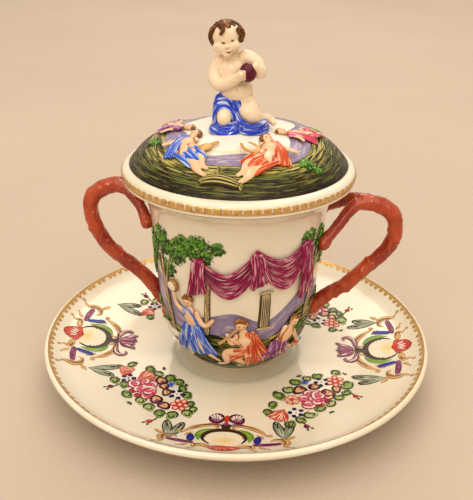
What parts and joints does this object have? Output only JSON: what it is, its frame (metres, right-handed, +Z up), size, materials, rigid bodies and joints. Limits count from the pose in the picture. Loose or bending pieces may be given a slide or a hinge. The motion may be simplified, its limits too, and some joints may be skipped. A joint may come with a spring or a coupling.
{
  "type": "covered cup with saucer",
  "caption": "Covered porcelain cup with branch-shaped handles and a figure as the lid's knob, standing on a dished saucer with a foot ring.",
  "frame": {"origin": "on the table under the centre of the saucer's foot ring", "axes": "+Z up through the figure on the lid; the handles lie along X; the figure faces -Y"},
  "size_m": [0.15, 0.15, 0.1352],
  "materials": {
    "white_glaze": "glossy warm white glaze",
    "painted_enamel": "painted relief under gloss",
    "coral_enamel": "glossy coral red enamel",
    "flesh_enamel": "glossy pale flesh enamel",
    "blue_enamel": "glossy blue enamel",
    "gilding": "worn burnished gold"
  },
  "bodies": {
    "root": {"saucer": "white_glaze", "cup": "white_glaze", "lid": "white_glaze"}
  },
  "joints": []
}
